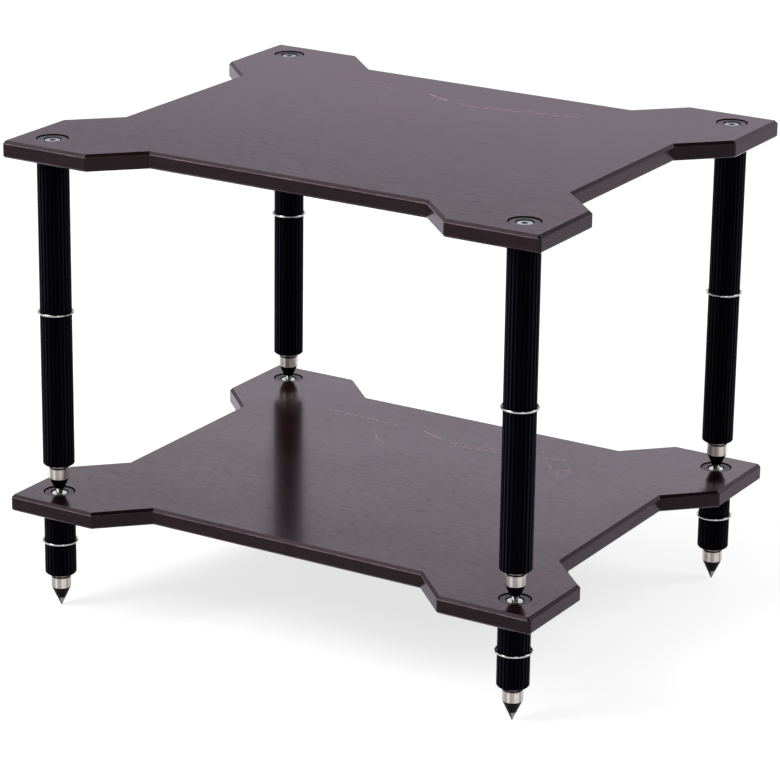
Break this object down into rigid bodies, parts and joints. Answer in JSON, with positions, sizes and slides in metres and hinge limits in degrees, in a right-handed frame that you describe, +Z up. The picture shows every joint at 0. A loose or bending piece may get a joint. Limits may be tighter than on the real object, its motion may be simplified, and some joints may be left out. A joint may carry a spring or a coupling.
{
  "type": "audio rack",
  "caption": "Stacking audio rack: notched, bevelled wooden shelves on fluted round legs with wire rings, standing on threaded levelling spikes.",
  "frame": {"origin": "on the floor, under the middle of the rack", "axes": "+X along the front, from left to right; +Y to the back; +Z up"},
  "size_m": [0.6, 0.5, 0.493],
  "materials": {
    "stained_wood": "dark stained veneer under satin lacquer",
    "black_anodised": "black anodised, fluted",
    "chrome_wire": "polished",
    "grey_anodised": "turned and grey anodised",
    "bright_steel": "turned, bright",
    "plug_aluminium": "turned",
    "satin_nickel": "satin nickel plate",
    "black_steel": "black, semi-gloss"
  },
  "bodies": {
    "lower_tier": {"lower_shelf": "stained_wood", "lower_cap_discs": "grey_anodised", "lower_cap_screws": "bright_steel", "lower_leg_top_plugs": "plug_aluminium", "lower_leg_bottom_plugs": "plug_aluminium", "lower_leg_front_left": "black_anodised", "lower_leg_ring_front_left": "chrome_wire", "lower_leg_front_right": "black_anodised", "lower_leg_ring_front_right": "chrome_wire", "lower_leg_back_right": "black_anodised", "lower_leg_ring_back_right": "chrome_wire", "lower_leg_back_left": "black_anodised", "lower_leg_ring_back_left": "chrome_wire"},
    "lower_lock_front_left": {"lower_lock_ring_front_left": "satin_nickel"},
    "lower_spike_front_left": {"lower_spike_collar_front_left": "satin_nickel", "lower_spike_cone_front_left": "black_steel", "lower_spike_tip_front_left": "bright_steel"},
    "lower_lock_front_right": {"lower_lock_ring_front_right": "satin_nickel"},
    "lower_spike_front_right": {"lower_spike_collar_front_right": "satin_nickel", "lower_spike_cone_front_right": "black_steel", "lower_spike_tip_front_right": "bright_steel"},
    "lower_lock_back_right": {"lower_lock_ring_back_right": "satin_nickel"},
    "lower_spike_back_right": {"lower_spike_collar_back_right": "satin_nickel", "lower_spike_cone_back_right": "black_steel", "lower_spike_tip_back_right": "bright_steel"},
    "lower_lock_back_left": {"lower_lock_ring_back_left": "satin_nickel"},
    "lower_spike_back_left": {"lower_spike_collar_back_left": "satin_nickel", "lower_spike_cone_back_left": "black_steel", "lower_spike_tip_back_left": "bright_steel"},
    "upper_tier": {"upper_shelf": "stained_wood", "upper_cap_discs": "grey_anodised", "upper_cap_screws": "bright_steel", "upper_leg_top_plugs": "plug_aluminium", "upper_leg_bottom_plugs": "plug_aluminium", "upper_leg_front_left": "black_anodised", "upper_leg_ring_front_left": "chrome_wire", "upper_leg_front_right": "black_anodised", "upper_leg_ring_front_right": "chrome_wire", "upper_leg_back_right": "black_anodised", "upper_leg_ring_back_right": "chrome_wire", "upper_leg_back_left": "black_anodised", "upper_leg_ring_back_left": "chrome_wire"},
    "upper_lock_front_left": {"upper_lock_ring_front_left": "satin_nickel"},
    "upper_spike_front_left": {"upper_spike_collar_front_left": "satin_nickel", "upper_spike_cone_front_left": "black_steel", "upper_spike_tip_front_left": "bright_steel"},
    "upper_lock_front_right": {"upper_lock_ring_front_right": "satin_nickel"},
    "upper_spike_front_right": {"upper_spike_collar_front_right": "satin_nickel", "upper_spike_cone_front_right": "black_steel", "upper_spike_tip_front_right": "bright_steel"},
    "upper_lock_back_right": {"upper_lock_ring_back_right": "satin_nickel"},
    "upper_spike_back_right": {"upper_spike_collar_back_right": "satin_nickel", "upper_spike_cone_back_right": "black_steel", "upper_spike_tip_back_right": "bright_steel"},
    "upper_lock_back_left": {"upper_lock_ring_back_left": "satin_nickel"},
    "upper_spike_back_left": {"upper_spike_collar_back_left": "satin_nickel", "upper_spike_cone_back_left": "black_steel", "upper_spike_tip_back_left": "bright_steel"}
  },
  "joints": [
    {"name": "lower_spike_turn_front_left", "type": "hinge", "parent": "lower_tier", "child": "lower_lock_front_left", "pos_m": [-0.2645, -0.2145, 0.0346], "axis": [0, 0, -1], "range_deg": [0, 2040]},
    {"name": "lower_spike_travel_front_left", "type": "slide", "parent": "lower_lock_front_left", "child": "lower_spike_front_left", "axis": [0, 0, -1], "range_m": [0, 0.0085]},
    {"name": "lower_spike_turn_front_right", "type": "hinge", "parent": "lower_tier", "child": "lower_lock_front_right", "pos_m": [0.2645, -0.2145, 0.0346], "axis": [0, 0, -1], "range_deg": [0, 2040]},
    {"name": "lower_spike_travel_front_right", "type": "slide", "parent": "lower_lock_front_right", "child": "lower_spike_front_right", "axis": [0, 0, -1], "range_m": [0, 0.0085]},
    {"name": "lower_spike_turn_back_right", "type": "hinge", "parent": "lower_tier", "child": "lower_lock_back_right", "pos_m": [0.2645, 0.2145, 0.0346], "axis": [0, 0, -1], "range_deg": [0, 2040]},
    {"name": "lower_spike_travel_back_right", "type": "slide", "parent": "lower_lock_back_right", "child": "lower_spike_back_right", "axis": [0, 0, -1], "range_m": [0, 0.0085]},
    {"name": "lower_spike_turn_back_left", "type": "hinge", "parent": "lower_tier", "child": "lower_lock_back_left", "pos_m": [-0.2645, 0.2145, 0.0346], "axis": [0, 0, -1], "range_deg": [0, 2040]},
    {"name": "lower_spike_travel_back_left", "type": "slide", "parent": "lower_lock_back_left", "child": "lower_spike_back_left", "axis": [0, 0, -1], "range_m": [0, 0.0085]},
    {"name": "upper_spike_turn_front_left", "type": "hinge", "parent": "upper_tier", "child": "upper_lock_front_left", "pos_m": [-0.2645, -0.2145, 0.1526], "axis": [0, 0, -1], "range_deg": [-324, 0]},
    {"name": "upper_spike_travel_front_left", "type": "slide", "parent": "upper_lock_front_left", "child": "upper_spike_front_left", "axis": [0, 0, -1], "range_m": [-0.00135, 0]},
    {"name": "upper_spike_turn_front_right", "type": "hinge", "parent": "upper_tier", "child": "upper_lock_front_right", "pos_m": [0.2645, -0.2145, 0.1526], "axis": [0, 0, -1], "range_deg": [-324, 0]},
    {"name": "upper_spike_travel_front_right", "type": "slide", "parent": "upper_lock_front_right", "child": "upper_spike_front_right", "axis": [0, 0, -1], "range_m": [-0.00135, 0]},
    {"name": "upper_spike_turn_back_right", "type": "hinge", "parent": "upper_tier", "child": "upper_lock_back_right", "pos_m": [0.2645, 0.2145, 0.1526], "axis": [0, 0, -1], "range_deg": [-324, 0]},
    {"name": "upper_spike_travel_back_right", "type": "slide", "parent": "upper_lock_back_right", "child": "upper_spike_back_right", "axis": [0, 0, -1], "range_m": [-0.00135, 0]},
    {"name": "upper_spike_turn_back_left", "type": "hinge", "parent": "upper_tier", "child": "upper_lock_back_left", "pos_m": [-0.2645, 0.2145, 0.1526], "axis": [0, 0, -1], "range_deg": [-324, 0]},
    {"name": "upper_spike_travel_back_left", "type": "slide", "parent": "upper_lock_back_left", "child": "upper_spike_back_left", "axis": [0, 0, -1], "range_m": [-0.00135, 0]},
    {"name": "upper_tier_lift", "type": "slide", "parent": "lower_tier", "child": "upper_tier", "axis": [0, 0, 1], "range_m": [0, 0.12]}
  ],
  "couplings": [
    {"joint": "lower_spike_turn_front_left", "follows": "lower_spike_travel_front_left", "rad_per_m": 4188.8},
    {"joint": "lower_spike_turn_front_right", "follows": "lower_spike_travel_front_right", "rad_per_m": 4188.8},
    {"joint": "lower_spike_turn_back_right", "follows": "lower_spike_travel_back_right", "rad_per_m": 4188.8},
    {"joint": "lower_spike_turn_back_left", "follows": "lower_spike_travel_back_left", "rad_per_m": 4188.8},
    {"joint": "upper_spike_turn_front_left", "follows": "upper_spike_travel_front_left", "rad_per_m": 4188.8},
    {"joint": "upper_spike_turn_front_right", "follows": "upper_spike_travel_front_right", "rad_per_m": 4188.8},
    {"joint": "upper_spike_turn_back_right", "follows": "upper_spike_travel_back_right", "rad_per_m": 4188.8},
    {"joint": "upper_spike_turn_back_left", "follows": "upper_spike_travel_back_left", "rad_per_m": 4188.8}
  ]
}
